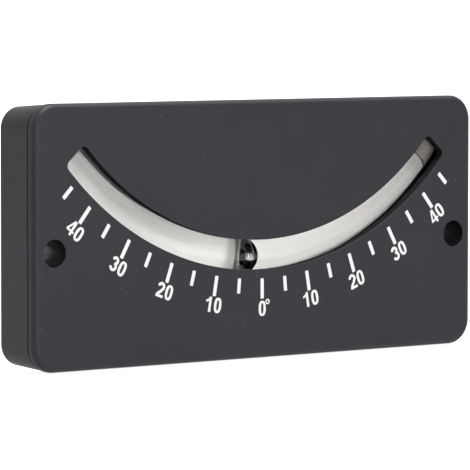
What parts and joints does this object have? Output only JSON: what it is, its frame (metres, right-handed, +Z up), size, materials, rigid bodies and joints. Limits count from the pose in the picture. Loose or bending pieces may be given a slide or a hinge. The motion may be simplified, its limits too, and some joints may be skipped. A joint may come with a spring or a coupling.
{
  "type": "inclinometer",
  "caption": "Panel-mounted ball inclinometer: a steel ball rolls in a curved liquid-filled glass tube behind a curved slot, over a degree scale, in a flat black moulded case.",
  "frame": {"origin": "centre of the back face, which lies against the panel", "axes": "+X to the right of the person who reads the scale, +Z up, +Y out of the back face into the panel; the scale faces -Y"},
  "size_m": [0.1112, 0.012, 0.0508],
  "materials": {
    "cover_plastic": "fine moulded satin, black",
    "housing_plastic": "fine moulded satin, black",
    "reflector": "matt white",
    "tube_glass": "clear, drawn and bent",
    "plug_rubber": "grey, matt",
    "ball_steel": "polished bearing steel",
    "screw_steel": "zinc plated"
  },
  "bodies": {
    "case": {"front_cover": "cover_plastic", "rear_housing": "housing_plastic", "reflector_strip": "reflector", "curved_tube": "tube_glass", "end_plug_left": "plug_rubber", "end_plug_right": "plug_rubber", "cover_screw_upper_left": "screw_steel", "cover_screw_upper_right": "screw_steel", "cover_screw_lower_left": "screw_steel", "cover_screw_lower_right": "screw_steel"},
    "ball": {"steel_ball": "ball_steel"}
  },
  "joints": [
    {"name": "ball_roll", "type": "hinge", "parent": "case", "child": "ball", "pos_m": [0, -0.00592, 0.05629], "axis": [0, -1, 0], "range_deg": [-44, 44]}
  ]
}
